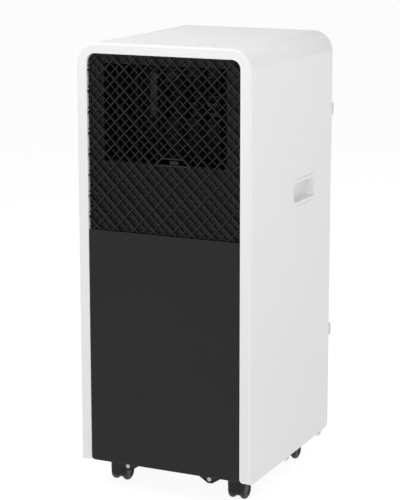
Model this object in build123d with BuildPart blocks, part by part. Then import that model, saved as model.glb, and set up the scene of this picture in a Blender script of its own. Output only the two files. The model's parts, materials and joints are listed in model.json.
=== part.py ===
"""Portable air conditioner: a tower cabinet on four twin-wheel casters.

Origin at the centre of the footprint, on the floor. +X is the cabinet's right as seen
by someone facing its front, -Y is the front and +Z is up. All values are millimetres.
"""
from build123d import *
import os
from math import cos, radians, sin, sqrt

os.makedirs("parts", exist_ok=True)

# ---- driving dimensions ----------------------------------------------------
WIDTH = 300
SHELL_DEPTH = 338
SHELL_HEIGHT = 687
FLOOR_GAP = 44            # floor to the lower edge of the cabinet
REAR_REACH = 28           # how far the cord hooks stand behind the cabinet
WALL = 2.5
TOP_RADIUS = 34           # the cabinet's two long upper edges
TOE_RADIUS = 10           # lower front corners of the sides
HEEL_RADIUS = 13          # lower rear corners of the sides
FRONT_FILLET = 4
SIDE_BORDER = 18.2        # white frame beside the dark front
TOP_BORDER = 16.5
OPENING_RADIUS = 14
GAP = 0.5                 # seam between neighbouring covers

HALF_W = WIDTH / 2
FRONT = -(SHELL_DEPTH + REAR_REACH) / 2
BACK = FRONT + SHELL_DEPTH
REAR_TIP = BACK + REAR_REACH
BOTTOM = FLOOR_GAP
TOP = BOTTOM + SHELL_HEIGHT
OPEN_HALF = HALF_W - SIDE_BORDER
OPEN_TOP = TOP - TOP_BORDER
PANEL_BOTTOM = BOTTOM + 4.6
PANEL_TOP = BOTTOM + 389.2

# grille
FIN_PITCH = 33.45         # along X or Z, of the proud fins
FIN_NODE_X = 16.8         # one crossing of the proud fins
FIN_NODE_Z = BOTTOM + 597
FIN_THICK = 1.5
THIN_FIN = 1.2            # half-pitch fins
FIN_FRONT = FRONT + 0.8
FIN_STEP = 3.6            # the half-pitch fins stand this much further back
CROSS_STEP = 1.2          # the rising fins stand this much behind the falling ones
RIM_STEP = 5.4            # the rim stands this much behind the falling fins
PLATE_FRONT = FRONT + 8
PLATE_THICK = 2
RIM_WIDTH = 3
WINDOW_HALF = 105.5
WINDOW_BOTTOM = BOTTOM + 500
WINDOW_TOP = BOTTOM + 655

# lever slot in the grille, and the air vanes it steers
SLOT_BOTTOM = BOTTOM + 502
SLOT_TOP = BOTTOM + 511
SLOT_X = 17
SLOT_HALF_TOP = 18.5
SLOT_RIM = 1.8
VANE_COUNT = 6
VANE_SPACING = 35
VANE_PIVOT_Y = FRONT + 35
VANE_ARM = 19.5           # pivot to link pin
VANE_CHORD = 32

# lever tabs that hold the front panel and the cabinet to the tray
TAB_DROP = 11             # how far a tab's tip hangs below the cabinet's edge
SCREW_DROP = 3.6
TAB_X = 73
TAB_HALF = 27             # half the width of a front tab where it leaves the panel
TAB_SETBACK = 17
SIDE_TAB_Y = (FRONT + 168, FRONT + 313)
SIDE_TAB_INSET = 6

# grip recess in each side
GRIP_Y = (FRONT + 174, FRONT + 262.5)
GRIP_Z = (BOTTOM + 422.5, BOTTOM + 453.5)
GRIP_DEPTH = 16
GRIP_WALL = 2
GRIP_RIM = 6

# rear
HOOK_OUTER_X = 143.3
HOOK_BOTTOMS = (BOTTOM + 156.5, BOTTOM + 542.3)
HOOK_HEIGHT = 22
BULGE = 4                 # how far the upper back cover stands behind the cabinet
BULGE_BOTTOM = BOTTOM + 464.5
COLLAR_Z = 316
COLLAR_BORE = 62.5
COLLAR_OUTER = 68
UPPER_INTAKE = (-112, 112, 530, 700)
LOWER_INTAKE = (-115, 115, 78, 235)
GLAND_AT = (-122, 285)
GLAND_BORE = 3.6
DRAIN_BORE = 6
LOWER_DRAIN = (-60, 63)
UPPER_DRAIN = (100, 408)

# tray and deck
TRAY_BOTTOM = 50
TRAY_HALF = 145
TRAY_FRONT = FRONT + 21
TRAY_BACK = BACK - 6
DECK_Z = 386

# casters
CASTER_X = 106
CASTER_Y = (FRONT + 53, FRONT + 269)
WHEEL_RADIUS = 16
WHEEL_WIDTH = 10
WHEEL_OFFSET = 9.9         # centre of one wheel from the caster's middle
TRAIL = 7                 # axle behind the swivel axis
AXLE_RADIUS = 3
STEM_RADIUS = 5.4
STEM_TOP = 64
RUNNING = 0.05            # radial clearance of every turning or sliding fit

# machinery
COMPRESSOR_AT = (-72, -20)
COMPRESSOR_RADIUS = 56
COMPRESSOR_TOP = 252
FOOT_CIRCLE = 62
ROOM_FAN = dict(y=8, z=600, x_from=-78, x_to=62, radius=58, mouth=-1)
EXHAUST_FAN = dict(y=8, z=302, x_from=5, x_to=85, radius=58, mouth=1)
SCROLL_GAP = 20
SHEET = 2


# ---- helpers ---------------------------------------------------------------
def facing(y):
    """Sketch plane parallel to the front at depth y; extrusions run towards the front."""
    return Plane.XZ.offset(-y)


def arch(half_width, bottom, top, top_radius, bottom_radius=0.0):
    """Outline with two round upper corners and, if asked, two round lower ones."""
    with BuildSketch() as outline:
        with Locations((0, (bottom + top) / 2)):
            Rectangle(2 * half_width, top - bottom)
        fillet(outline.vertices().group_by(Axis.Y)[-1], top_radius)
        if bottom_radius:
            fillet(outline.vertices().group_by(Axis.Y)[0], bottom_radius)
    return outline.sketch


def block(x0, x1, y0, y1, z0, z1, mode=Mode.ADD):
    """Rectangular block between two corners."""
    with Locations(((x0 + x1) / 2, (y0 + y1) / 2, (z0 + z1) / 2)):
        Box(x1 - x0, y1 - y0, z1 - z0, mode=mode)


def rod(start, end, radius, mode=Mode.ADD):
    """Round bar from start to end."""
    along = Vector(*end) - Vector(*start)
    with Locations(Plane(origin=start, z_dir=along)):
        Cylinder(radius, along.length, align=(Align.CENTER, Align.CENTER, Align.MIN), mode=mode)


def save(builder, name):
    """Label a finished piece and write it as its own file."""
    builder.part.label = name
    export_step(builder.part, f"parts/{name}.step")


def screw_head(face, direction, radius):
    """Pan head with a cross recess: its outer face is centred on face, its shank would run along direction."""
    start = Vector(*face)
    way = Vector(*direction)
    rod(start, start + way * 2.2, radius)
    with Locations(Plane(origin=start, z_dir=way)):
        Box(3.8, 0.8, 2.4, mode=Mode.SUBTRACT)
        Box(0.8, 3.8, 2.4, mode=Mode.SUBTRACT)


def pan_screw(face, direction, length=9.0):
    """Pan-head screw with its shank, length over all."""
    screw_head(face, direction, 3.3)
    start = Vector(*face)
    way = Vector(*direction)
    rod(start + way * 2.2, start + way * length, 1.6)


# ---- cabinet shell ---------------------------------------------------------
with BuildPart() as cabinet_shell:
    with BuildSketch(facing(BACK)):
        add(arch(HALF_W, BOTTOM, TOP, TOP_RADIUS))
    extrude(amount=SHELL_DEPTH)
    front_edges = cabinet_shell.faces().sort_by(Axis.Y)[0].edges()
    fillet(front_edges.sort_by(Axis.Z)[1:], FRONT_FILLET)
    with BuildSketch(facing(BACK)):
        add(arch(HALF_W - WALL, BOTTOM - 1, TOP - WALL, TOP_RADIUS - WALL))
    extrude(amount=SHELL_DEPTH - WALL - 1, mode=Mode.SUBTRACT)
    with BuildSketch(facing(FRONT + 12)):
        add(arch(OPEN_HALF + 2, BOTTOM + TOE_RADIUS, OPEN_TOP + 2, OPENING_RADIUS + 2))
    extrude(amount=9)
    with BuildSketch(facing(FRONT + 13)):
        add(arch(OPEN_HALF, BOTTOM - 1, OPEN_TOP, OPENING_RADIUS))
    extrude(amount=14, mode=Mode.SUBTRACT)
    # round lower corners of both sides, at the front and at the back
    for corner_y, inward, radius in ((FRONT, 1, TOE_RADIUS), (BACK, -1, HEEL_RADIUS)):
        with BuildSketch(Plane.YZ.offset(-HALF_W)):
            with Locations((corner_y, BOTTOM)):
                Rectangle(2 * radius, 2 * radius)
            with Locations((corner_y + inward * radius, BOTTOM + radius)):
                Circle(radius, mode=Mode.SUBTRACT)
                with Locations((inward * radius / 2, 0)):
                    Rectangle(radius, 2 * radius, mode=Mode.SUBTRACT)
                with Locations((0, radius / 2)):
                    Rectangle(2 * radius, radius, mode=Mode.SUBTRACT)
        extrude(amount=WIDTH, mode=Mode.SUBTRACT)
    # round inner corners at the feet of the front frame
    for side in (-1, 1):
        with BuildSketch(facing(FRONT + 13)):
            with Locations((side * OPEN_HALF, BOTTOM)):
                Rectangle(2 * TOE_RADIUS, 2 * TOE_RADIUS)
            with Locations((side * (OPEN_HALF + TOE_RADIUS), BOTTOM + TOE_RADIUS)):
                Circle(TOE_RADIUS, mode=Mode.SUBTRACT)
        extrude(amount=14, mode=Mode.SUBTRACT)
    # grip openings, each with a shallow seat for the cup's rim
    for side in (-1, 1):
        grip_y = sum(GRIP_Y) / 2
        grip_z = sum(GRIP_Z) / 2
        grip_w = GRIP_Y[1] - GRIP_Y[0]
        grip_h = GRIP_Z[1] - GRIP_Z[0]
        with BuildSketch(Plane.YZ.offset(side * (HALF_W - 1.3))):
            with Locations((grip_y, grip_z)):
                RectangleRounded(grip_w + 2 * GRIP_RIM + 0.6, grip_h + 2 * GRIP_RIM + 0.6, 10)
        extrude(amount=side * 3, mode=Mode.SUBTRACT)
        with BuildSketch(Plane.YZ.offset(side * (HALF_W - WALL - 1))):
            with Locations((grip_y, grip_z)):
                RectangleRounded(grip_w + 2 * GRIP_WALL + 0.6, grip_h + 2 * GRIP_WALL + 0.6, 8)
        extrude(amount=side * 5, mode=Mode.SUBTRACT)
    # tapered screw tabs under both sides
    for side in (-1, 1):
        for tab_y in SIDE_TAB_Y:
            inner = side * (HALF_W - SIDE_TAB_INSET - WALL)
            with BuildSketch(Plane.YZ.offset(inner)):
                Polygon(
                    (tab_y - 16, BOTTOM + 18), (tab_y - 16, BOTTOM + 2), (tab_y - 5, BOTTOM - TAB_DROP),
                    (tab_y + 5, BOTTOM - TAB_DROP), (tab_y + 16, BOTTOM + 2), (tab_y + 16, BOTTOM + 18),
                    align=None,
                )
            extrude(amount=side * WALL)
            with BuildSketch(Plane.YZ.offset(inner)):
                with Locations((tab_y, BOTTOM + 15)):
                    Rectangle(32, 6)
            extrude(amount=side * (SIDE_TAB_INSET + 1))
            hole_z = BOTTOM - SCREW_DROP
            rod((inner - side, tab_y, hole_z), (inner + side * 4, tab_y, hole_z), 1.75, Mode.SUBTRACT)
save(cabinet_shell, "cabinet_shell")

# ---- lower front panel -----------------------------------------------------
PANEL_HALF = OPEN_HALF - GAP
with BuildPart() as front_panel:
    with BuildSketch(facing(FRONT + 12)):
        add(arch(PANEL_HALF, PANEL_BOTTOM, PANEL_TOP, 1.5, 5))
    extrude(amount=12)
    fillet(front_panel.faces().sort_by(Axis.Y)[0].edges(), 1.4)
    with BuildSketch(facing(FRONT + 13)):
        add(arch(PANEL_HALF - WALL, PANEL_BOTTOM + WALL, PANEL_TOP - WALL, 1, 3))
    extrude(amount=13 - WALL, mode=Mode.SUBTRACT)
    for tab_x in (-TAB_X, TAB_X):
        ends = (tab_x - TAB_HALF, tab_x + TAB_HALF)
        block(*ends, FRONT + 9, FRONT + TAB_SETBACK + WALL, PANEL_BOTTOM, PANEL_BOTTOM + WALL)
        with BuildSketch(facing(FRONT + TAB_SETBACK + WALL)) as tab:
            Polygon(
                (tab_x - TAB_HALF, PANEL_BOTTOM + WALL), (tab_x - TAB_HALF, PANEL_BOTTOM - 1),
                (tab_x - 4, BOTTOM - TAB_DROP), (tab_x + 4, BOTTOM - TAB_DROP),
                (tab_x + TAB_HALF, PANEL_BOTTOM - 1), (tab_x + TAB_HALF, PANEL_BOTTOM + WALL),
                align=None,
            )
            fillet(tab.vertices().group_by(Axis.Y)[0], 2.5)
        extrude(amount=WALL)
        hole_z = BOTTOM - SCREW_DROP
        rod((tab_x, FRONT + 12, hole_z), (tab_x, FRONT + 24, hole_z), 1.75, Mode.SUBTRACT)
save(front_panel, "front_panel")

# ---- grille ----------------------------------------------------------------
GRILLE_HALF = OPEN_HALF - GAP
GRILLE_BOTTOM = PANEL_TOP + GAP
GRILLE_TOP = OPEN_TOP - GAP
FIN_REACH = 420


def fin_strips(shift, thickness, directions):
    """Diagonal fins in the given directions, moved along X by shift from the proud ones."""
    spots = []
    for step in range(-13, 14):
        spots.append((FIN_NODE_X + shift + step * FIN_PITCH, FIN_NODE_Z))
    with Locations(*spots):
        for direction in directions:
            Rectangle(FIN_REACH * 2, thickness, rotation=45 * direction)


def slot_outline(grow):
    """Lever slot with 45 degree ends, grown outwards on every side."""
    half_top = SLOT_HALF_TOP + grow * (sqrt(2) - 1)
    half_bottom = half_top + (SLOT_TOP - SLOT_BOTTOM) + 2 * grow
    with BuildSketch() as outline:
        Polygon(
            (SLOT_X - half_bottom, SLOT_BOTTOM - grow), (SLOT_X + half_bottom, SLOT_BOTTOM - grow),
            (SLOT_X + half_top, SLOT_TOP + grow), (SLOT_X - half_top, SLOT_TOP + grow),
            align=None,
        )
    return outline.sketch


with BuildPart() as front_grille:
    # rim, set well back behind the fins' front edges
    with BuildSketch(facing(FRONT + 12)):
        add(arch(GRILLE_HALF, GRILLE_BOTTOM, GRILLE_TOP, OPENING_RADIUS - GAP, 1))
        inner = (GRILLE_HALF - RIM_WIDTH, GRILLE_BOTTOM + RIM_WIDTH, GRILLE_TOP - RIM_WIDTH)
        add(arch(*inner, OPENING_RADIUS - 3, 1), mode=Mode.SUBTRACT)
    extrude(amount=12 - 0.8 - RIM_STEP)
    # each layer of fins: front face, its strips and how far its ends stay inside the rim's outline
    for setback, strips, inset in (
        (FIN_STEP, ((0, FIN_THICK, (-1, 1)), (FIN_PITCH / 2, THIN_FIN, (-1, 1))), 0.2),
        (CROSS_STEP, ((0, FIN_THICK, (-1, 1)),), 0.4),
        (0, ((0, FIN_THICK, (-1,)),), 0.6),
    ):
        with BuildSketch(facing(PLATE_FRONT - 0.2)):
            for strip in strips:
                fin_strips(*strip)
            add(slot_outline(SLOT_RIM))
            add(slot_outline(0), mode=Mode.SUBTRACT)
            add(
                arch(GRILLE_HALF - inset, GRILLE_BOTTOM + inset, GRILLE_TOP - inset, OPENING_RADIUS - 1, 1),
                mode=Mode.INTERSECT,
            )
        extrude(amount=PLATE_FRONT - 0.2 - FIN_FRONT - setback)
    # the slot's own frame stands proud of every fin
    with BuildSketch(facing(FIN_FRONT + 1)):
        add(slot_outline(SLOT_RIM))
        add(slot_outline(0), mode=Mode.SUBTRACT)
    extrude(amount=1.5)
save(front_grille, "front_grille")

with BuildPart() as grille_backplate:
    with BuildSketch(facing(PLATE_FRONT + PLATE_THICK)):
        inner_half = GRILLE_HALF - RIM_WIDTH - 0.3
        add(arch(inner_half, GRILLE_BOTTOM + RIM_WIDTH + 0.3, GRILLE_TOP - RIM_WIDTH - 0.3, 10, 1))
        with Locations((0, (WINDOW_BOTTOM + WINDOW_TOP) / 2)):
            RectangleRounded(2 * WINDOW_HALF, WINDOW_TOP - WINDOW_BOTTOM, 3, mode=Mode.SUBTRACT)
    extrude(amount=PLATE_THICK)
save(grille_backplate, "grille_backplate")

# ---- air outlet: duct, vanes and the link that steers them -----------------
DUCT_FRONT = PLATE_FRONT + PLATE_THICK + 0.3
DUCT_BACK = -72
DUCT_HALF = WINDOW_HALF + 2.5
DUCT_FLOOR = WINDOW_BOTTOM - 2
DUCT_CEILING = WINDOW_TOP + 2
VANE_XS = [(index - (VANE_COUNT - 1) / 2) * VANE_SPACING for index in range(VANE_COUNT)]
VANE_PIN = 2.0
MOUTH_BOTTOM = ROOM_FAN["z"] + 2
MOUTH_TOP = ROOM_FAN["z"] + ROOM_FAN["radius"] + SCROLL_GAP - SHEET

with BuildPart() as outlet_duct:
    outer_half = DUCT_HALF + SHEET
    block(-outer_half, outer_half, DUCT_FRONT, DUCT_BACK, DUCT_FLOOR - SHEET, DUCT_CEILING + SHEET)
    block(-DUCT_HALF, DUCT_HALF, DUCT_FRONT - 1, DUCT_BACK - SHEET, DUCT_FLOOR, DUCT_CEILING, Mode.SUBTRACT)
    block(
        ROOM_FAN["x_from"] + SHEET, ROOM_FAN["x_to"] - SHEET, DUCT_BACK - 3, DUCT_BACK + 1,
        MOUTH_BOTTOM, MOUTH_TOP, Mode.SUBTRACT,
    )
    for vane_x in VANE_XS:
        rod(
            (vane_x, VANE_PIVOT_Y, DUCT_FLOOR - 3), (vane_x, VANE_PIVOT_Y, DUCT_CEILING + 3),
            VANE_PIN + RUNNING, Mode.SUBTRACT,
        )
save(outlet_duct, "outlet_duct")

LINK_Y = VANE_PIVOT_Y - VANE_ARM
LINK_BOTTOM = DUCT_FLOOR + 0.4
LINK_TOP = LINK_BOTTOM + 3
PIN_RADIUS = 1.25
PIN_PLAY = 0.6            # the pins' way across the slots while the vanes swing

for number, vane_x in enumerate(VANE_XS, start=1):
    with BuildPart() as air_vane:
        block(
            vane_x - 1, vane_x + 1, VANE_PIVOT_Y - VANE_CHORD / 2, VANE_PIVOT_Y + VANE_CHORD / 2,
            LINK_TOP + 1.4, DUCT_CEILING - 1.5,
        )
        upright = air_vane.edges().filter_by(Axis.Z)
        fillet(upright, 0.9)
        rod((vane_x, VANE_PIVOT_Y, DUCT_FLOOR - SHEET), (vane_x, VANE_PIVOT_Y, DUCT_CEILING + SHEET), VANE_PIN)
        block(vane_x - 1, vane_x + 1, LINK_Y - 1.5, VANE_PIVOT_Y, LINK_TOP + 0.8, LINK_TOP + 3.4)
        rod((vane_x, LINK_Y, LINK_BOTTOM + 0.3), (vane_x, LINK_Y, LINK_TOP + 2), PIN_RADIUS)
    save(air_vane, f"air_vane_{number}")

TAB_HALF = 7
TAB_MIDDLE = SLOT_X + 2
with BuildPart() as vane_link:
    block(-95, 95, DUCT_FRONT + 0.4, LINK_Y + 3.2, LINK_BOTTOM, LINK_TOP)
    for vane_x in VANE_XS:
        slot_half = PIN_RADIUS + PIN_PLAY
        block(
            vane_x - slot_half, vane_x + slot_half, LINK_Y - slot_half, LINK_Y + 4,
            LINK_BOTTOM - 1, LINK_TOP + 1, Mode.SUBTRACT,
        )
    # finger tab, cranked forward through the window into the grille's slot
    block(
        TAB_MIDDLE - TAB_HALF, TAB_MIDDLE + TAB_HALF, DUCT_FRONT + 0.4, DUCT_FRONT + 2.6,
        LINK_TOP - 1, SLOT_BOTTOM + 6.6,
    )
    block(
        TAB_MIDDLE - TAB_HALF, TAB_MIDDLE + TAB_HALF, FRONT + 2.2, DUCT_FRONT + 2.6,
        SLOT_BOTTOM + 1.0, SLOT_BOTTOM + 6.6,
    )
save(vane_link, "vane_link")

# ---- grip cups -------------------------------------------------------------
for side, name in ((-1, "grip_cup_left"), (1, "grip_cup_right")):
    grip_y = sum(GRIP_Y) / 2
    grip_z = sum(GRIP_Z) / 2
    grip_w = GRIP_Y[1] - GRIP_Y[0]
    grip_h = GRIP_Z[1] - GRIP_Z[0]
    with BuildPart() as grip_cup:
        with BuildSketch(Plane.YZ.offset(side * (HALF_W - 1.2))):
            with Locations((grip_y, grip_z)):
                RectangleRounded(grip_w + 2 * GRIP_RIM, grip_h + 2 * GRIP_RIM, 9.5)
        extrude(amount=side * 1.2)
        with BuildSketch(Plane.YZ.offset(side * (HALF_W - GRIP_DEPTH - GRIP_WALL))):
            with Locations((grip_y, grip_z)):
                RectangleRounded(grip_w + 2 * GRIP_WALL, grip_h + 2 * GRIP_WALL, 7.5)
        extrude(amount=side * (GRIP_DEPTH + GRIP_WALL))
        with BuildSketch(Plane.YZ.offset(side * (HALF_W - GRIP_DEPTH))):
            with Locations((grip_y, grip_z)):
                RectangleRounded(grip_w, grip_h, 6)
        extrude(amount=side * (GRIP_DEPTH + 1), mode=Mode.SUBTRACT)
    save(grip_cup, name)

# ---- back panel ------------------------------------------------------------
with BuildPart() as rear_panel:
    inset = WALL + 0.4
    with BuildSketch(facing(BACK)):
        add(arch(HALF_W - inset, TRAY_BOTTOM + 0.5, TOP - inset, TOP_RADIUS - inset, 3))
    extrude(amount=WALL)
    with BuildSketch(facing(BACK + BULGE)):
        add(arch(HALF_W - 0.4, BULGE_BOTTOM, TOP - 0.4, TOP_RADIUS - 0.4, 4))
    extrude(amount=BULGE)
    fillet(rear_panel.faces().sort_by(Axis.Y)[-1].edges(), 2.5)
    for x0, x1, z0, z1 in (UPPER_INTAKE, LOWER_INTAKE):
        with BuildSketch(facing(BACK + BULGE + 1)):
            with Locations(((x0 + x1) / 2, (z0 + z1) / 2)):
                RectangleRounded(x1 - x0, z1 - z0, 8)
        extrude(amount=BULGE + WALL + 3, mode=Mode.SUBTRACT)
    rod((0, BACK - 10, COLLAR_Z), (0, BACK + 10, COLLAR_Z), COLLAR_OUTER + 0.3, Mode.SUBTRACT)
    gland_x, gland_z = GLAND_AT
    rod((gland_x, BACK - 10, gland_z), (gland_x, BACK + 10, gland_z), 6.2, Mode.SUBTRACT)
    for drain_x, drain_z in (LOWER_DRAIN, UPPER_DRAIN):
        rod((drain_x, BACK - 10, drain_z), (drain_x, BACK + 10, drain_z), 9.3, Mode.SUBTRACT)
save(rear_panel, "rear_panel")


def filter_cover(opening, back, rib_count):
    """Louvred cover with a mesh sheet behind it, filling an intake with a small gap all round."""
    x0, x1, z0, z1 = opening
    width = x1 - x0 - 2 * GAP
    height = z1 - z0 - 2 * GAP
    middle = ((x0 + x1) / 2, (z0 + z1) / 2)
    with BuildPart() as cover:
        with BuildSketch(facing(back)):
            with Locations(middle):
                RectangleRounded(width, height, 7.5)
                RectangleRounded(width - 16, height - 16, 3, mode=Mode.SUBTRACT)
                Rectangle(5, height - 10)
        extrude(amount=7)
        slat_step = (height - 16) / rib_count
        for index in range(rib_count - 1):
            slat_z = middle[1] - (height - 16) / 2 + (index + 1) * slat_step
            with BuildSketch(Plane.YZ.offset(middle[0] - width / 2 + 7)):
                with Locations((back - 3.5, slat_z)):
                    Rectangle(6, 1.8, rotation=-35)
            extrude(amount=width - 14)
        block(middle[0] - width / 2 + 7, middle[0] + width / 2 - 7, back - 7, back - 6.4,
              middle[1] - height / 2 + 7, middle[1] + height / 2 - 7)
        # thumb notch at the upper edge
        with BuildSketch(facing(back + 1)):
            with Locations((middle[0], middle[1] + height / 2)):
                SlotOverall(44, 9)
        extrude(amount=4, mode=Mode.SUBTRACT)
    return cover


filter_upper = filter_cover(UPPER_INTAKE, BACK + BULGE + 0.5, 13)
save(filter_upper, "filter_upper")
filter_lower = filter_cover(LOWER_INTAKE, BACK + 0.5, 12)
save(filter_lower, "filter_lower")

# ---- cord hooks ------------------------------------------------------------
with BuildPart() as cord_hooks:
    for hook_bottom, surface, lip_up in ((HOOK_BOTTOMS[0], BACK, False), (HOOK_BOTTOMS[1], BACK + BULGE, True)):
        hook_top = hook_bottom + HOOK_HEIGHT
        arm_bottom = hook_bottom if lip_up else hook_top - 11
        block(HOOK_OUTER_X - 18, HOOK_OUTER_X, surface, surface + 3, hook_bottom, hook_top)
        block(HOOK_OUTER_X - 16, HOOK_OUTER_X - 2, surface, REAR_TIP, arm_bottom, arm_bottom + 11)
        with BuildSketch(facing(REAR_TIP)):
            with Locations((HOOK_OUTER_X - 9, hook_bottom + HOOK_HEIGHT / 2)):
                RectangleRounded(18, HOOK_HEIGHT, 4)
        extrude(amount=4.5)
save(cord_hooks, "cord_hooks")

# ---- exhaust collar, cord gland, drain plugs -------------------------------
with BuildPart() as exhaust_collar:
    rod((0, BACK - 12, COLLAR_Z), (0, BACK + 22, COLLAR_Z), COLLAR_OUTER)
    rod((0, BACK, COLLAR_Z), (0, BACK + 3, COLLAR_Z), COLLAR_OUTER + 8)
    rod((0, BACK - 13, COLLAR_Z), (0, BACK + 23, COLLAR_Z), COLLAR_BORE, Mode.SUBTRACT)
    # bayonet lugs for the hose end
    for angle in (0, 120, 240):
        lug_x = (COLLAR_OUTER + 0.5) * sin(radians(angle))
        lug_z = COLLAR_Z + (COLLAR_OUTER + 0.5) * cos(radians(angle))
        with Locations(Location((lug_x, BACK + 15, lug_z), (0, angle, 0))):
            Box(16, 5, 5)
    rod((0, BACK - 13, COLLAR_Z), (0, BACK + 23, COLLAR_Z), COLLAR_BORE, Mode.SUBTRACT)
save(exhaust_collar, "exhaust_collar")

with BuildPart() as cord_gland:
    rod((gland_x, BACK - 10, gland_z), (gland_x, BACK, gland_z), 5.9)
    rod((gland_x, BACK, gland_z), (gland_x, BACK + 3, gland_z), 10)
    rod((gland_x, BACK - 11, gland_z), (gland_x, BACK + 4, gland_z), GLAND_BORE, Mode.SUBTRACT)
save(cord_gland, "cord_gland")

for drain, name in ((LOWER_DRAIN, "drain_plug_lower"), (UPPER_DRAIN, "drain_plug_upper")):
    drain_x, drain_z = drain
    with BuildPart() as drain_plug:
        rod((drain_x, BACK - 10, drain_z), (drain_x, BACK + 2.5, drain_z), DRAIN_BORE - RUNNING)
        rod((drain_x, BACK + 2.5, drain_z), (drain_x, BACK + 6.5, drain_z), 9)
        block(drain_x - 1.5, drain_x + 1.5, BACK + 6, BACK + 12, drain_z - 7, drain_z + 7)
    save(drain_plug, name)

# ---- base tray and middle deck ---------------------------------------------
with BuildPart() as base_tray:
    tray_x = (-TRAY_HALF, TRAY_HALF)
    block(*tray_x, TRAY_FRONT, TRAY_BACK, TRAY_BOTTOM, TRAY_BOTTOM + 22)
    block(
        -TRAY_HALF + WALL, TRAY_HALF - WALL, TRAY_FRONT + WALL, TRAY_BACK - WALL,
        TRAY_BOTTOM + 3, TRAY_BOTTOM + 23, Mode.SUBTRACT,
    )
    for caster_x in (-CASTER_X, CASTER_X):
        for caster_y in CASTER_Y:
            rod((caster_x, caster_y, BOTTOM), (caster_x, caster_y, STEM_TOP + 3), 10)
    # lugs behind the screw tabs
    for tab_x in (-TAB_X, TAB_X):
        lug_front = FRONT + TAB_SETBACK + WALL + 0.1
        block(tab_x - 4.5, tab_x + 4.5, lug_front, TRAY_FRONT + 7, BOTTOM - TAB_DROP + 3, TRAY_BOTTOM + 1)
    for side in (-1, 1):
        for tab_y in SIDE_TAB_Y:
            lug_out = HALF_W - SIDE_TAB_INSET - WALL - 0.1
            ends = sorted((side * (lug_out - 9), side * lug_out))
            block(*ends, tab_y - 4.5, tab_y + 4.5, BOTTOM - TAB_DROP + 3, TRAY_BOTTOM + 1)
            # room for the cabinet's tab in the tray's rim
            rim = sorted((side * (lug_out + 0.1 - 0.2), side * (TRAY_HALF + 1)))
            block(*rim, tab_y - 17, tab_y + 17, TRAY_BOTTOM - 1, BOTTOM + 20, Mode.SUBTRACT)
    drain_x, drain_z = LOWER_DRAIN
    rod((drain_x, TRAY_BACK - 14, drain_z), (drain_x, BACK, drain_z), 9)
    # compressor studs
    for angle in (90, 210, 330):
        stud_x = COMPRESSOR_AT[0] + FOOT_CIRCLE * cos(radians(angle))
        stud_y = COMPRESSOR_AT[1] + FOOT_CIRCLE * sin(radians(angle))
        rod((stud_x, stud_y, TRAY_BOTTOM + 2), (stud_x, stud_y, TRAY_BOTTOM + 24), 3)
    # bores come last, so that they stay open
    for caster_x in (-CASTER_X, CASTER_X):
        for caster_y in CASTER_Y:
            rod((caster_x, caster_y, BOTTOM - 1), (caster_x, caster_y, STEM_TOP + 0.5),
                STEM_RADIUS + RUNNING, Mode.SUBTRACT)
    rod((drain_x, TRAY_BACK - 21, drain_z), (drain_x, BACK + 1, drain_z), DRAIN_BORE, Mode.SUBTRACT)
    hole_z = BOTTOM - SCREW_DROP
    for tab_x in (-TAB_X, TAB_X):
        rod((tab_x, FRONT + 15, hole_z), (tab_x, FRONT + 30, hole_z), 1.62, Mode.SUBTRACT)
    for side in (-1, 1):
        for tab_y in SIDE_TAB_Y:
            rod((side * 146, tab_y, hole_z), (side * 134, tab_y, hole_z), 1.62, Mode.SUBTRACT)
save(base_tray, "base_tray")

DECK_HOLES = ((-118, -106, 12), (-103, 60, 6))
with BuildPart() as middle_deck:
    block(-143, 143, TRAY_FRONT, BACK - 6, DECK_Z, DECK_Z + 3)
    block(-143, 143, 92, BACK - 6, DECK_Z, DECK_Z + 12)
    block(-140.5, 140.5, 94.5, BACK - 8.5, DECK_Z + 3, DECK_Z + 13, Mode.SUBTRACT)
    drain_x, drain_z = UPPER_DRAIN
    block(drain_x - 12, drain_x + 12, BACK - 22, BACK - 6, DECK_Z + 1, drain_z + 9)
    rod((drain_x, BACK - 10, drain_z), (drain_x, BACK, drain_z), 9)
    rod((drain_x, BACK - 16, drain_z), (drain_x, BACK + 1, drain_z), DRAIN_BORE, Mode.SUBTRACT)
    for hole_x, hole_y, hole_radius in DECK_HOLES:
        rod((hole_x, hole_y, DECK_Z - 1), (hole_x, hole_y, DECK_Z + 4), hole_radius, Mode.SUBTRACT)
save(middle_deck, "middle_deck")


# ---- heat exchangers -------------------------------------------------------
def heat_exchanger(y_front, depth, z_bottom, z_top, rows):
    """Finned core between two end plates, with the tube ends showing."""
    half = 118
    with BuildPart() as coil:
        block(-half, half, y_front + 1, y_front + depth - 1, z_bottom + 1, z_top - 1)
        for side in (-1, 1):
            ends = sorted((side * half, side * (half + 1.5)))
            block(*ends, y_front, y_front + depth, z_bottom, z_top)
        step = (z_top - z_bottom) / rows
        for row in range(rows):
            tube_z = z_bottom + (row + 0.5) * step
            for tube_y in (y_front + depth * 0.28, y_front + depth * 0.72):
                rod((-half - 6, tube_y, tube_z), (half + 6, tube_y, tube_z), 4)
    return coil


condenser = heat_exchanger(108, 26, TRAY_BOTTOM + 12, 246, 8)
save(condenser, "condenser")
evaporator = heat_exchanger(98, 26, DECK_Z + 16, 692, 12)
save(evaporator, "evaporator")

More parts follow.
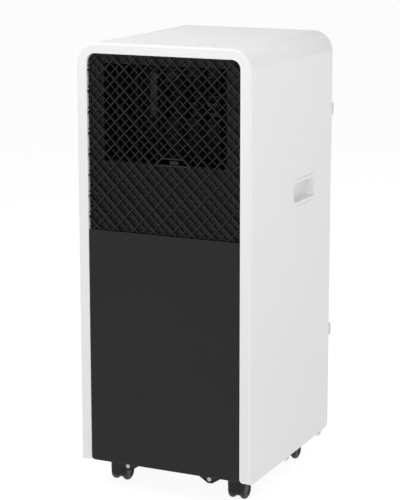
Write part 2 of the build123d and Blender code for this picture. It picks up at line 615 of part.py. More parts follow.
# ---- compressor ------------------------------------------------------------
comp_x, comp_y = COMPRESSOR_AT
GROMMET_TOP = TRAY_BOTTOM + 14
with BuildPart() as compressor:
    with Locations((comp_x, comp_y, GROMMET_TOP + 3)):
        Cylinder(COMPRESSOR_RADIUS, COMPRESSOR_TOP - GROMMET_TOP - 3,
                 align=(Align.CENTER, Align.CENTER, Align.MIN))
    fillet(compressor.edges().filter_by(GeomType.CIRCLE).group_by(Axis.Z)[-1], 24)
    with BuildSketch(Plane.XY.offset(GROMMET_TOP)) as foot_plate:
        with Locations((comp_x, comp_y)):
            with PolarLocations(FOOT_CIRCLE, 3, start_angle=90):
                Circle(11)
            Circle(COMPRESSOR_RADIUS - 4)
    extrude(amount=3)
    with Locations((comp_x, comp_y, GROMMET_TOP - 1)):
        with PolarLocations(FOOT_CIRCLE, 3, start_angle=90):
            Cylinder(3.6, 6, align=(Align.CENTER, Align.CENTER, Align.MIN), mode=Mode.SUBTRACT)
    block(comp_x - 14, comp_x + 14, comp_y - 10, comp_y + 18, COMPRESSOR_TOP - 4, COMPRESSOR_TOP + 14)
save(compressor, "compressor")

with BuildPart() as compressor_grommets:
    with Locations((comp_x, comp_y, TRAY_BOTTOM + 3)):
        with PolarLocations(FOOT_CIRCLE, 3, start_angle=90):
            Cylinder(10, GROMMET_TOP - TRAY_BOTTOM - 3, align=(Align.CENTER, Align.CENTER, Align.MIN))
            Cylinder(3.2, 30, mode=Mode.SUBTRACT)
save(compressor_grommets, "compressor_grommets")

with BuildPart() as compressor_nuts:
    with Locations((comp_x, comp_y, GROMMET_TOP + 3)):
        with PolarLocations(FOOT_CIRCLE, 3, start_angle=90):
            Cylinder(5.6, 5, align=(Align.CENTER, Align.CENTER, Align.MIN))
            Cylinder(3.1, 30, mode=Mode.SUBTRACT)
save(compressor_nuts, "compressor_nuts")

ACCUMULATOR_AT = (comp_x, comp_y - COMPRESSOR_RADIUS - 30)
with BuildPart() as accumulator:
    with Locations((*ACCUMULATOR_AT, 100)):
        Cylinder(22, 130, align=(Align.CENTER, Align.CENTER, Align.MIN))
    fillet(accumulator.edges().filter_by(GeomType.CIRCLE), 12)
    block(comp_x - 5, comp_x + 5, ACCUMULATOR_AT[1] + 18, comp_y - COMPRESSOR_RADIUS - 0.1, 150, 165)
save(accumulator, "accumulator")


def pipe(points, bend, radius):
    """Bent copper pipe: straight runs joined by round bends."""
    with BuildLine() as route:
        FilletPolyline(*points, radius=bend)
    start = Plane(origin=points[0], z_dir=Vector(*points[1]) - Vector(*points[0]))
    with BuildSketch(start) as section:
        Circle(radius)
    return sweep(section.sketch, path=route.line)


acc_x, acc_y = ACCUMULATOR_AT
with BuildPart() as refrigerant_pipes:
    suction = (
        (acc_x, acc_y, 230), (acc_x, acc_y, 340), (-118, acc_y, 340), (-118, acc_y, 430), (-118, 97.5, 430),
    )
    add(pipe(suction, 14, 5))
    discharge = ((-98, comp_y, COMPRESSOR_TOP + 0.3), (-98, comp_y, 310), (-98, 121, 310), (-98, 121, 246.5))
    add(pipe(discharge, 14, 4))
save(refrigerant_pipes, "refrigerant_pipes")

with BuildPart() as capillary_tube:
    thin_run = ((-112, 121, 246.5), (-112, 121, 330), (-103, 60, 345), (-103, 60, 450), (-103, 97.5, 450))
    add(pipe(thin_run, 5, 1.5))
save(capillary_tube, "capillary_tube")


# ---- blowers ---------------------------------------------------------------
def scroll_housing(fan):
    """Sheet scroll round a blower wheel: mouth at the top, inlet on the -X side, motor on +X."""
    outer = fan["radius"] + SCROLL_GAP
    length = fan["x_to"] - fan["x_from"]
    reach = 72 if fan["mouth"] < 0 else 88
    mouth_y = fan["mouth"] * reach
    bottom = fan["z"]
    top = fan["z"] + outer
    side_y = sorted((fan["y"], mouth_y))
    with BuildPart() as housing:
        with BuildSketch(Plane.YZ.offset(fan["x_from"])):
            with Locations((fan["y"], fan["z"])):
                Circle(outer)
            with Locations((sum(side_y) / 2, (bottom + top) / 2)):
                Rectangle(side_y[1] - side_y[0], top - bottom)
        extrude(amount=length)
        with BuildSketch(Plane.YZ.offset(fan["x_from"] + SHEET)):
            with Locations((fan["y"], fan["z"])):
                Circle(outer - SHEET)
            beyond = fan["mouth"] * 10
            inner_y = sorted((fan["y"], mouth_y + beyond))
            with Locations((sum(inner_y) / 2, (bottom + top) / 2)):
                Rectangle(inner_y[1] - inner_y[0], top - bottom - 2 * SHEET)
        extrude(amount=length - 2 * SHEET, mode=Mode.SUBTRACT)
        rod(
            (fan["x_from"] - 1, fan["y"], fan["z"]), (fan["x_from"] + 3, fan["y"], fan["z"]),
            fan["radius"] - 12, Mode.SUBTRACT,
        )
        rod((fan["x_to"] - 3, fan["y"], fan["z"]), (fan["x_to"] + 1, fan["y"], fan["z"]), 20, Mode.SUBTRACT)
    return housing


def blower_wheel(fan, blades):
    """Squirrel-cage wheel on its shaft; the shaft runs into the motor."""
    start = fan["x_from"] + SHEET + 5
    end = fan["x_to"] - SHEET - 5
    centre = (fan["y"], fan["z"])
    with BuildPart() as wheel:
        with BuildSketch(Plane.YZ.offset(start)):
            with Locations(centre):
                with PolarLocations(fan["radius"] - 6, blades):
                    Rectangle(11, 1.4, rotation=35)
        extrude(amount=end - start)
        for ring_x in (start, end - 2):
            with BuildSketch(Plane.YZ.offset(ring_x)):
                with Locations(centre):
                    Circle(fan["radius"])
                    Circle(fan["radius"] - 12, mode=Mode.SUBTRACT)
            extrude(amount=2)
        with BuildSketch(Plane.YZ.offset(end - 2)):
            with Locations(centre):
                Circle(fan["radius"] - 5)
        extrude(amount=2)
        rod((end - 24, *centre), (fan["x_to"] + 24, *centre), 4)
        rod((end - 24, *centre), (end, *centre), 11)
    return wheel


def fan_motor(fan):
    """Round motor on the scroll's +X side, with a bearing bore for the wheel's shaft."""
    centre = (fan["y"], fan["z"])
    with BuildPart() as motor:
        rod((fan["x_to"] + 0.2, *centre), (fan["x_to"] + 3, *centre), 40)
        rod((fan["x_to"] + 3, *centre), (fan["x_to"] + 40, *centre), 33)
        fillet(motor.faces().sort_by(Axis.X)[-1].edges(), 6)
        rod((fan["x_to"] - 1, *centre), (fan["x_to"] + 26, *centre), 4 + RUNNING, Mode.SUBTRACT)
    return motor


room_fan_housing = scroll_housing(ROOM_FAN)
save(room_fan_housing, "room_fan_housing")
room_fan_wheel = blower_wheel(ROOM_FAN, 20)
save(room_fan_wheel, "room_fan_wheel")
room_fan_motor = fan_motor(ROOM_FAN)
save(room_fan_motor, "room_fan_motor")
exhaust_fan_housing = scroll_housing(EXHAUST_FAN)
save(exhaust_fan_housing, "exhaust_fan_housing")
exhaust_fan_wheel = blower_wheel(EXHAUST_FAN, 20)
save(exhaust_fan_wheel, "exhaust_fan_wheel")
exhaust_fan_motor = fan_motor(EXHAUST_FAN)
save(exhaust_fan_motor, "exhaust_fan_motor")

# chamber between the exhaust fan and the hose collar
with BuildPart() as exhaust_plenum:
    chamber = (-70, 88, 88.3, BACK - 12.3)
    block(*chamber, 252, 383)
    block(-68, 86, 90.3, BACK - 11, 254, 381, Mode.SUBTRACT)
    fan_top = EXHAUST_FAN["z"] + EXHAUST_FAN["radius"] + SCROLL_GAP
    block(
        EXHAUST_FAN["x_from"] + SHEET, EXHAUST_FAN["x_to"] - SHEET, 87, 91,
        EXHAUST_FAN["z"] + SHEET, fan_top - SHEET, Mode.SUBTRACT,
    )
save(exhaust_plenum, "exhaust_plenum")

# ---- controls --------------------------------------------------------------
KEY_PITCH = 23
KEY_ROW_Y = FRONT + 42
BOARD_Z = 716
with BuildPart() as control_board:
    block(-84, 84, KEY_ROW_Y - 26, KEY_ROW_Y + 24, BOARD_Z, BOARD_Z + 1.6)
    # one sensing spring below each touch key, up to the skin
    with Locations((0, KEY_ROW_Y, BOARD_Z + 1)):
        with GridLocations(KEY_PITCH, 1, 7, 1):
            Cylinder(5, TOP - WALL - 0.3 - BOARD_Z - 1, align=(Align.CENTER, Align.CENTER, Align.MIN))
    block(-30, 30, KEY_ROW_Y + 9, KEY_ROW_Y + 20, BOARD_Z + 1, BOARD_Z + 9)
save(control_board, "control_board")

with BuildPart() as electrical_box:
    block(72, 134, -150, -60, DECK_Z + 3, 500)
    block(74, 132, -148, -62, DECK_Z + 5, 498, Mode.SUBTRACT)
    block(73, 100, -130, -80, 497, 501, Mode.SUBTRACT)
save(electrical_box, "electrical_box")

with BuildPart() as run_capacitor:
    with Locations((30, -110, DECK_Z + 3)):
        Cylinder(20, 80, align=(Align.CENTER, Align.CENTER, Align.MIN))
    fillet(run_capacitor.edges().filter_by(GeomType.CIRCLE).group_by(Axis.Z)[-1], 3)
    with Locations((30, -110, DECK_Z + 82)):
        with GridLocations(16, 1, 2, 1):
            Box(5, 1.2, 12, align=(Align.CENTER, Align.CENTER, Align.MIN))
save(run_capacitor, "run_capacitor")

# ---- screws ----------------------------------------------------------------
with BuildPart() as tab_screws:
    screw_z = BOTTOM - SCREW_DROP
    for tab_x in (-TAB_X, TAB_X):
        pan_screw((tab_x, FRONT + TAB_SETBACK - 2.2, screw_z), (0, 1, 0))
    for side in (-1, 1):
        for tab_y in SIDE_TAB_Y:
            pan_screw((side * (HALF_W - SIDE_TAB_INSET + 2.2), tab_y, screw_z), (-side, 0, 0))
save(tab_screws, "tab_screws")

with BuildPart() as rear_screws:
    for side in (-1, 1):
        for screw_z, rise in ((110, 0), (250, 0), (460, 0), (545, BULGE), (680, BULGE)):
            screw_head((side * 132, BACK + rise + 2.2, screw_z), (0, -1, 0), 3.6)
save(rear_screws, "rear_screws")

# ---- casters ---------------------------------------------------------------
HOOD_RADIUS = 18.6
HOOD_HALF = 15.2
HOOD_TOP = 40
HOOD_ROUNDING = 8         # corners seen from above
WEB_HALF = 2.4            # web between the two wheels
WEB_RADIUS = 12
number = 0
for caster_y in CASTER_Y:
    for caster_x in (-CASTER_X, CASTER_X):
        number += 1
        axle_y = caster_y + TRAIL
        axle_z = WHEEL_RADIUS
        with BuildPart() as caster_hood:
            # canopy over both wheels: upright in front, round at the back, open below
            with BuildSketch(Plane.YZ.offset(caster_x - HOOD_HALF)):
                with Locations((axle_y, axle_z)):
                    Circle(HOOD_RADIUS)
                with BuildSketch(mode=Mode.ADD) as brow:
                    with Locations((axle_y - HOOD_RADIUS / 2, (axle_z + HOOD_TOP) / 2)):
                        Rectangle(HOOD_RADIUS, HOOD_TOP - axle_z)
                    fillet(brow.vertices().group_by(Axis.Y)[-1], 7)
                with Locations((axle_y, axle_z)):
                    Circle(WHEEL_RADIUS + 0.9, mode=Mode.SUBTRACT)
                    with Locations((0, -HOOD_RADIUS / 2 - 1)):
                        Rectangle(60, HOOD_RADIUS - 2, mode=Mode.SUBTRACT)
                    with Locations((HOOD_RADIUS, -2)):
                        Rectangle(19, 13, mode=Mode.SUBTRACT)
            extrude(amount=2 * HOOD_HALF)
            with BuildSketch(Plane.XY.offset(-1)):
                with Locations((caster_x, axle_y)):
                    RectangleRounded(2 * HOOD_HALF, 2 * HOOD_RADIUS, HOOD_ROUNDING)
            extrude(amount=HOOD_TOP + 3, mode=Mode.INTERSECT)
            with BuildSketch(Plane.YZ.offset(caster_x - WEB_HALF)):
                with Locations((axle_y, axle_z)):
                    Circle(WEB_RADIUS)
                    with Locations((-3, 9)):
                        Rectangle(18, 18)
            extrude(amount=2 * WEB_HALF)
            rod((caster_x, caster_y, axle_z + HOOD_RADIUS - 6), (caster_x, caster_y, BOTTOM - 0.5), 9)
            rod((caster_x, caster_y, BOTTOM - 1), (caster_x, caster_y, STEM_TOP), STEM_RADIUS)
            rod((caster_x - HOOD_HALF - 1, axle_y, axle_z), (caster_x - WEB_HALF, axle_y, axle_z),
                WHEEL_RADIUS + 0.9, Mode.SUBTRACT)
            rod((caster_x + WEB_HALF, axle_y, axle_z), (caster_x + HOOD_HALF + 1, axle_y, axle_z),
                WHEEL_RADIUS + 0.9, Mode.SUBTRACT)
            rod((caster_x - 4, axle_y, axle_z), (caster_x + 4, axle_y, axle_z),
                AXLE_RADIUS + RUNNING, Mode.SUBTRACT)
        save(caster_hood, f"caster_{number}_hood")
        with BuildPart() as caster_axle:
            reach = WHEEL_OFFSET + WHEEL_WIDTH / 2 - 1.5
            rod((caster_x - reach, axle_y, axle_z), (caster_x + reach, axle_y, axle_z), AXLE_RADIUS)
        save(caster_axle, f"caster_{number}_axle")
        for side, word in ((-1, "left"), (1, "right")):
            centre_x = caster_x + side * WHEEL_OFFSET
            outer_x = centre_x + side * WHEEL_WIDTH / 2
            inner_x = centre_x - side * WHEEL_WIDTH / 2
            with BuildPart() as wheel:
                rod((inner_x, axle_y, axle_z), (outer_x, axle_y, axle_z), WHEEL_RADIUS)
                fillet(wheel.faces().filter_by(GeomType.PLANE).edges(), 4.5)
                rod((outer_x - side * 1.2, axle_y, axle_z), (outer_x + side, axle_y, axle_z), 9, Mode.SUBTRACT)
                rod((inner_x - side, axle_y, axle_z), (outer_x - side * 1.4, axle_y, axle_z),
                    AXLE_RADIUS + RUNNING, Mode.SUBTRACT)
            save(wheel, f"caster_{number}_wheel_{word}")
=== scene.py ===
"""Looks of the portable air conditioner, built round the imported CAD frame. Metres."""
import json
from math import cos, radians, sin

import bmesh
import bpy
from mathutils import Matrix, Vector


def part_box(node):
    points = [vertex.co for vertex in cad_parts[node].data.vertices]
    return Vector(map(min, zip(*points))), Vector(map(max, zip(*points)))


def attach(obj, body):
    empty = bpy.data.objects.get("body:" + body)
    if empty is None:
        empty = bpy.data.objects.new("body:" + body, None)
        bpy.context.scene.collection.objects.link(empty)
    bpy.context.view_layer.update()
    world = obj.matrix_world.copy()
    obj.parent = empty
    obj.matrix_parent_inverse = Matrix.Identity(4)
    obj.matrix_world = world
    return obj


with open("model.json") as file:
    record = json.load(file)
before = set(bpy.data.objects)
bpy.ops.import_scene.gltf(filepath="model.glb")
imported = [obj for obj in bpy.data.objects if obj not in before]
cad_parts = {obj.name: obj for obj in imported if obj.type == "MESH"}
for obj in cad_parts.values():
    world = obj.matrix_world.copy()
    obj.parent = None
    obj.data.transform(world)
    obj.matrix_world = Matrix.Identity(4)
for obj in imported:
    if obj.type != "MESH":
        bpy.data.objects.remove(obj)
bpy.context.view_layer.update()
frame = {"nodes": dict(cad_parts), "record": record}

NODES = frame["nodes"]
MM = 0.001

shell_low, shell_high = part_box("cabinet_shell")
FRONT = shell_low.y
TOP = shell_high.z


# ---- materials ---------------------------------------------------------------
def new_material(name):
    """Empty node material: returns it with its tree, its shader and its object-space coordinates."""
    material = bpy.data.materials.new(name)
    material.use_nodes = True
    tree = material.node_tree
    tree.nodes.clear()
    output = tree.nodes.new("ShaderNodeOutputMaterial")
    shader = tree.nodes.new("ShaderNodeBsdfPrincipled")
    tree.links.new(shader.outputs["BSDF"], output.inputs["Surface"])
    place = tree.nodes.new("ShaderNodeTexCoord")
    return material, tree, shader, place.outputs["Object"]


def noise(tree, where, scale, detail=3.0, stretch=None):
    """Noise value at a scale in cycles per metre, optionally stretched along an axis."""
    if stretch:
        mapping = tree.nodes.new("ShaderNodeMapping")
        mapping.inputs["Scale"].default_value = stretch
        tree.links.new(where, mapping.inputs["Vector"])
        where = mapping.outputs["Vector"]
    texture = tree.nodes.new("ShaderNodeTexNoise")
    texture.inputs["Scale"].default_value = scale
    texture.inputs["Detail"].default_value = detail
    tree.links.new(where, texture.inputs["Vector"])
    return texture.outputs["Fac"]


def ramp(tree, value, low, high, start=0.3, end=0.7):
    """Colour from low to high as value goes from start to end."""
    node = tree.nodes.new("ShaderNodeValToRGB")
    node.color_ramp.elements[0].position = start
    node.color_ramp.elements[1].position = end
    node.color_ramp.elements[0].color = (*low, 1)
    node.color_ramp.elements[1].color = (*high, 1)
    tree.links.new(value, node.inputs["Fac"])
    return node.outputs["Color"]


def spread(tree, value, low, high):
    """Number from low to high as value goes from 0.3 to 0.7."""
    node = tree.nodes.new("ShaderNodeMapRange")
    node.inputs["From Min"].default_value = 0.3
    node.inputs["From Max"].default_value = 0.7
    node.inputs["To Min"].default_value = low
    node.inputs["To Max"].default_value = high
    tree.links.new(value, node.inputs["Value"])
    return node.outputs["Result"]


def bump(tree, height, depth, strength=1.0, under=None):
    """Surface relief of the given depth in metres, on top of another relief if there is one."""
    node = tree.nodes.new("ShaderNodeBump")
    node.inputs["Distance"].default_value = depth
    node.inputs["Strength"].default_value = strength
    tree.links.new(height, node.inputs["Height"])
    if under is not None:
        tree.links.new(under, node.inputs["Normal"])
    return node.outputs["Normal"]


def moulded(name, color, rough, specular, tint, texture=1100.0, coat=0.0):
    """Moulded plastic: spark-eroded texture, long soft waves in the skin, faint tint changes."""
    material, tree, shader, where = new_material(name)
    light = tuple(min(1.0, c * (1 + tint)) for c in color)
    dark = tuple(c * (1 - tint) for c in color)
    clouds = noise(tree, where, 7.0, 4.0)
    tree.links.new(ramp(tree, clouds, dark, light), shader.inputs["Base Color"])
    scuffs = noise(tree, where, 60.0, 6.0)
    tree.links.new(spread(tree, scuffs, rough - 0.04, rough + 0.05), shader.inputs["Roughness"])
    waves = bump(tree, noise(tree, where, 14.0, 1.0), 0.00015, 0.35)
    fine = bump(tree, noise(tree, where, texture, 2.0), 0.00002, 0.8, waves)
    tree.links.new(fine, shader.inputs["Normal"])
    shader.inputs["Specular IOR Level"].default_value = specular
    shader.inputs["Coat Weight"].default_value = coat
    return material


def steel(name, color, rough, stretch):
    """Bare or plated metal with fine drawn lines."""
    material, tree, shader, where = new_material(name)
    lines = noise(tree, where, 420.0, 4.0, stretch)
    tree.links.new(ramp(tree, lines, tuple(c * 0.8 for c in color), color), shader.inputs["Base Color"])
    tree.links.new(spread(tree, lines, rough - 0.08, rough + 0.1), shader.inputs["Roughness"])
    tree.links.new(bump(tree, lines, 0.00002, 0.5), shader.inputs["Normal"])
    shader.inputs["Metallic"].default_value = 1.0
    return material


def spangled(name, color, rough):
    """Galvanised sheet: crystal spangles of slightly different brightness."""
    material, tree, shader, where = new_material(name)
    cells = tree.nodes.new("ShaderNodeTexVoronoi")
    cells.inputs["Scale"].default_value = 120.0
    tree.links.new(where, cells.inputs["Vector"])
    grey = tree.nodes.new("ShaderNodeRGBToBW")
    tree.links.new(cells.outputs["Color"], grey.inputs["Color"])
    tone = ramp(tree, grey.outputs["Val"], tuple(c * 0.82 for c in color), color, 0.1, 0.9)
    tree.links.new(tone, shader.inputs["Base Color"])
    tree.links.new(spread(tree, grey.outputs["Val"], rough - 0.1, rough + 0.1), shader.inputs["Roughness"])
    tree.links.new(bump(tree, noise(tree, where, 300.0), 0.00003, 0.4), shader.inputs["Normal"])
    shader.inputs["Metallic"].default_value = 0.85
    return material


def finned(name, color):
    """Stacked thin aluminium sheets seen edge on, with small kinks. The dark bands between the sheets are
    painted shade in the gaps.
    """
    material, tree, shader, where = new_material(name)
    sheets = tree.nodes.new("ShaderNodeTexWave")
    sheets.wave_type = "BANDS"
    sheets.bands_direction = "X"
    sheets.inputs["Scale"].default_value = 180.0
    sheets.inputs["Distortion"].default_value = 0.4
    sheets.inputs["Detail"].default_value = 1.0
    tree.links.new(where, sheets.inputs["Vector"])
    # dark bands at a quarter of the metal's colour: painted shade in the gaps between the sheets
    tone = ramp(tree, sheets.outputs["Fac"], tuple(c * 0.25 for c in color), color, 0.2, 0.75)
    tree.links.new(tone, shader.inputs["Base Color"])
    tree.links.new(spread(tree, noise(tree, where, 90.0), 0.3, 0.5), shader.inputs["Roughness"])
    tree.links.new(bump(tree, sheets.outputs["Fac"], 0.0006, 0.8), shader.inputs["Normal"])
    shader.inputs["Metallic"].default_value = 0.9
    return material


def tarnished(name, bright, dull):
    """Copper tube: bright metal with browned patches."""
    material, tree, shader, where = new_material(name)
    patches = noise(tree, where, 28.0, 6.0)
    tree.links.new(ramp(tree, patches, dull, bright, 0.35, 0.6), shader.inputs["Base Color"])
    tree.links.new(spread(tree, patches, 0.45, 0.22), shader.inputs["Roughness"])
    tree.links.new(bump(tree, noise(tree, where, 500.0), 0.00002, 0.4), shader.inputs["Normal"])
    shader.inputs["Metallic"].default_value = 1.0
    return material


def circuit(name, mask_color, pad_color):
    """Solder mask with small lighter pads."""
    material, tree, shader, where = new_material(name)
    cells = tree.nodes.new("ShaderNodeTexVoronoi")
    cells.distance = "MANHATTAN"
    cells.feature = "F1"
    cells.inputs["Scale"].default_value = 260.0
    tree.links.new(where, cells.inputs["Vector"])
    tone = ramp(tree, cells.outputs["Distance"], pad_color, mask_color, 0.16, 0.24)
    tree.links.new(tone, shader.inputs["Base Color"])
    tree.links.new(bump(tree, cells.outputs["Distance"], 0.00005, 0.5), shader.inputs["Normal"])
    shader.inputs["Roughness"].default_value = 0.3
    return material


def beaded(name, color):
    """Expanded foam: packed beads with dark seams."""
    material, tree, shader, where = new_material(name)
    beads = tree.nodes.new("ShaderNodeTexVoronoi")
    beads.inputs["Scale"].default_value = 320.0
    tree.links.new(where, beads.inputs["Vector"])
    tone = ramp(tree, beads.outputs["Distance"], color, tuple(c * 0.86 for c in color), 0.3, 0.75)
    tree.links.new(tone, shader.inputs["Base Color"])
    tree.links.new(bump(tree, beads.outputs["Distance"], -0.0004, 0.6), shader.inputs["Normal"])
    shader.inputs["Roughness"].default_value = 0.75
    return material


MATERIALS = {
    "white_plastic": moulded("white_plastic", (0.83, 0.832, 0.834), 0.5, 0.35, 0.008),
    "back_plastic": moulded("back_plastic", (0.74, 0.745, 0.75), 0.46, 0.45, 0.01),
    "dark_plastic": moulded("dark_plastic", (0.013, 0.013, 0.0135), 0.5, 0.3, 0.08, texture=1400.0),
    "panel_plastic": moulded("panel_plastic", (0.0095, 0.0095, 0.0098), 0.44, 0.26, 0.08, texture=1400.0),
    "black_plastic": moulded("black_plastic", (0.008, 0.008, 0.0085), 0.5, 0.3, 0.1),
    "wheel_plastic": moulded("wheel_plastic", (0.014, 0.014, 0.0145), 0.42, 0.4, 0.1),
    "grommet_rubber": moulded("grommet_rubber", (0.03, 0.03, 0.03), 0.8, 0.3, 0.15),
    "compressor_paint": moulded(
        "compressor_paint", (0.02, 0.02, 0.021), 0.32, 0.5, 0.03, texture=400.0, coat=0.2
    ),
    "zinc_screw": steel("zinc_screw", (0.62, 0.62, 0.60), 0.32, (1.0, 1.0, 6.0)),
    "axle_steel": steel("axle_steel", (0.55, 0.55, 0.55), 0.28, (6.0, 1.0, 1.0)),
    "motor_steel": steel("motor_steel", (0.42, 0.43, 0.44), 0.42, (5.0, 1.0, 1.0)),
    "galvanised": spangled("galvanised", (0.62, 0.64, 0.66), 0.42),
    "coil_fins": finned("coil_fins", (0.78, 0.79, 0.8)),
    "copper": tarnished("copper", (0.78, 0.43, 0.27), (0.30, 0.15, 0.09)),
    "board": circuit("board", (0.018, 0.10, 0.04), (0.05, 0.20, 0.08)),
    "foam_white": beaded("foam_white", (0.80, 0.81, 0.81)),
}

SLOT_OF = {row["node"]: row["material_slot"] for row in frame["record"]["subparts"]}
SLOT_OF["front_panel"] = "panel_plastic"      # a little darker than the lattice
for node_name, node in NODES.items():
    node.data.materials.clear()
    node.data.materials.append(MATERIALS[SLOT_OF[node_name]])


# ---- crisp but not razor-sharp moulded edges ---------------------------------
def soften(node_name, radius):
    """Small radius on every sharp edge of a CAD node, as a moulded part has."""
    node = NODES[node_name]
    weld = node.modifiers.new("weld", "WELD")
    weld.merge_threshold = 0.005 * MM
    flat = node.modifiers.new("flat", "DECIMATE")
    flat.decimate_type = "DISSOLVE"
    flat.angle_limit = radians(0.5)
    edge = node.modifiers.new("edge", "BEVEL")
    edge.width = radius
    edge.segments = 2
    edge.limit_method = "ANGLE"
    edge.angle_limit = radians(35)
    edge.use_clamp_overlap = False
    edge.harden_normals = True


# the grille, the rear panel and the filter covers are left out: dissolving would close their openings
for part_name, edge_radius in (
    ("cabinet_shell", 0.5 * MM), ("grille_backplate", 0.3 * MM), ("cord_hooks", 0.8 * MM),
    ("grip_cup_left", 0.4 * MM), ("grip_cup_right", 0.4 * MM), ("exhaust_collar", 0.5 * MM),
):
    soften(part_name, edge_radius)


def new_piece(name, mesh, material):
    """Object made from a finished bmesh, with one material."""
    data = bpy.data.meshes.new(name)
    mesh.to_mesh(data)
    mesh.free()
    data.materials.append(material)
    piece = bpy.data.objects.new(name, data)
    bpy.context.scene.collection.objects.link(piece)
    return piece


# ---- printed touch symbols on the top ----------------------------------------
SYMBOL_PITCH = 23 * MM
SYMBOL_MIDDLE_X = 1.3 * MM
SYMBOL_SETBACK = 39.2 * MM    # row of symbols behind the cabinet's front
SYMBOL_LINE = 0.75 * MM
PRINT_LIFT = 0.02 * MM


def stroke(mesh, points, width, z):
    """Flat line of constant width through points, as quads."""
    rows = []
    for i, point in enumerate(points):
        before = points[max(i - 1, 0)]
        after = points[min(i + 1, len(points) - 1)]
        along = (Vector(after) - Vector(before)).normalized()
        across = Vector((-along.y, along.x)) * width / 2
        left = mesh.verts.new((point[0] + across.x, point[1] + across.y, z))
        right = mesh.verts.new((point[0] - across.x, point[1] - across.y, z))
        rows.append((left, right))
    for first, second in zip(rows, rows[1:]):
        mesh.faces.new((first[0], first[1], second[1], second[0]))


def arc(x, y, radius, start, end):
    """Points on a circle from one angle to another, in degrees."""
    steps = 28
    points = []
    for i in range(steps + 1):
        angle = radians(start + (end - start) * i / steps)
        points.append((x + radius * cos(angle), y + radius * sin(angle)))
    return points


def touch_symbols():
    """Seven generic symbols: swing, night, fan, minus, plus, timer and power."""
    mesh = bmesh.new()
    z = TOP + PRINT_LIFT
    y = FRONT + SYMBOL_SETBACK
    swing, night, fan, minus, plus, timer, power = [SYMBOL_MIDDLE_X + SYMBOL_PITCH * k for k in range(-3, 4)]

    def draw(*points):
        stroke(mesh, points, SYMBOL_LINE, z)

    draw(*arc(swing, y, 2.6 * MM, 200, 340))
    draw((swing - 2.8 * MM, y + 1.5 * MM), (swing + 2.8 * MM, y + 1.5 * MM))
    draw(*arc(night, y, 2.6 * MM, 60, 300))
    draw(*arc(night + 1.9 * MM, y, 2.4 * MM, 110, 250))
    for turn in (90, 210, 330):
        blade_x = fan + 1.4 * MM * cos(radians(turn))
        blade_y = y + 1.4 * MM * sin(radians(turn))
        draw(*arc(blade_x, blade_y, 1.25 * MM, turn - 170, turn + 100))
    draw((minus - 2.4 * MM, y), (minus + 2.4 * MM, y))
    draw((plus - 2.4 * MM, y), (plus + 2.4 * MM, y))
    draw((plus, y - 2.4 * MM), (plus, y - 0.4 * MM))
    draw((plus, y + 0.4 * MM), (plus, y + 2.4 * MM))
    draw(*arc(timer, y, 2.7 * MM, 0, 360))
    draw((timer, y + 1.7 * MM), (timer, y), (timer + 1.3 * MM, y - 0.6 * MM))
    draw(*arc(power, y, 2.7 * MM, 125, 415))
    draw((power, y + 0.6 * MM), (power, y + 3.4 * MM))
    piece = new_piece("touch_symbols", mesh, MATERIALS["dark_plastic"])
    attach(piece, "cabinet")


touch_symbols()


# ---- floor, light and camera -------------------------------------------------
FLOOR_HALF = 60
FLOOR_GLOW = 0.93
SKY_LOW = (1, 1, 1)
SKY_HIGH = (0.12, 0.12, 0.12)
CAMERA_PLACE = (1.19236, FRONT - 2.39864, TOP + 0.26986)
YAW, PITCH, ROLL = 0.445347, 0.191691, -0.0025707    # radians
FOCAL_LENGTH = 126.129168                            # in millimetres, as Blender takes it


def floor():
    """Plain pale studio floor, far larger than what the camera sees. Its own glow keeps it near white."""
    mesh = bmesh.new()
    bmesh.ops.create_grid(mesh, x_segments=1, y_segments=1, size=FLOOR_HALF)
    material, tree, shader, where = new_material("studio_floor")
    tone = ramp(tree, noise(tree, where, 2.0), (0.20, 0.20, 0.20), (0.21, 0.21, 0.21))
    tree.links.new(tone, shader.inputs["Base Color"])
    shader.inputs["Roughness"].default_value = 0.9
    shader.inputs["Specular IOR Level"].default_value = 0.1
    shader.inputs["Emission Color"].default_value = (1, 1, 1, 1)
    shader.inputs["Emission Strength"].default_value = FLOOR_GLOW
    new_piece("studio_floor", mesh, material)


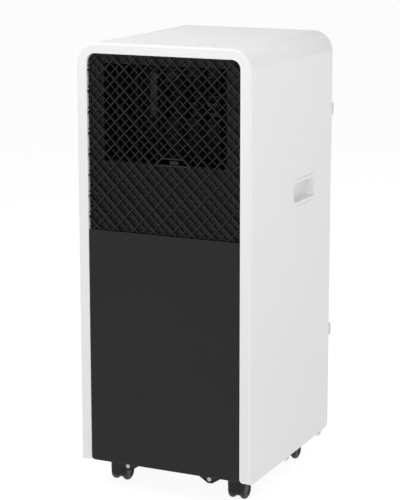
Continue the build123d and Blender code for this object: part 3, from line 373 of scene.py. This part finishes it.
def soft_light(name, place, aim, size, power):
    """Square soft box at place, turned towards aim."""
    lamp = bpy.data.lights.new(name, "AREA")
    lamp.shape = "SQUARE"
    lamp.size = size
    lamp.energy = power
    piece = bpy.data.objects.new(name, lamp)
    bpy.context.scene.collection.objects.link(piece)
    way = Vector(aim) - Vector(place)
    piece.matrix_world = Matrix.Translation(place) @ way.to_track_quat("-Z", "Y").to_matrix().to_4x4()


def sky():
    """World light: white near the horizon, dim above it."""
    world = bpy.data.worlds.new("studio")
    world.use_nodes = True
    tree = world.node_tree
    direction = tree.nodes.new("ShaderNodeTexCoord")
    height = tree.nodes.new("ShaderNodeSeparateXYZ")
    tree.links.new(direction.outputs["Generated"], height.inputs["Vector"])
    tone = ramp(tree, height.outputs["Z"], SKY_LOW, SKY_HIGH, 0.17, 0.24)
    tree.links.new(tone, tree.nodes["Background"].inputs["Color"])
    bpy.context.scene.world = world


def camera():
    """Long lens from the front right, a little above the top."""
    ahead = Vector((-sin(YAW) * cos(PITCH), cos(YAW) * cos(PITCH), -sin(PITCH)))
    level_right = Vector((cos(YAW), sin(YAW), 0))
    level_up = level_right.cross(ahead)
    right = cos(ROLL) * level_right + sin(ROLL) * level_up
    up = cos(ROLL) * level_up - sin(ROLL) * level_right
    lens = bpy.data.cameras.new("camera")
    lens.sensor_width = 36
    lens.lens = FOCAL_LENGTH
    lens.shift_x = 0.02
    lens.shift_y = -0.088
    lens.clip_end = 200
    viewer = bpy.data.objects.new("camera", lens)
    turn = Matrix((right, up, -ahead)).transposed().to_4x4()
    viewer.matrix_world = Matrix.Translation(CAMERA_PLACE) @ turn
    bpy.context.scene.collection.objects.link(viewer)
    bpy.context.scene.camera = viewer


floor()
soft_light("key_light", (-0.7, -0.5, 1.8), (0, 0, 0.7), 1.2, 12.6)
soft_light("side_light", (1.3, -1.2, 1.7), (0.15, 0, 0.6), 1.2, 14.5)
soft_light("top_light", (-0.1, -0.1, 1.75), (0, 0, 0.7), 1.2, 4.3)
soft_light("back_light", (0.5, 2.4, 1.7), (0, 0, 0.38), 1.4, 9)
sky()
camera()
bpy.context.scene.view_settings.view_transform = "Standard"
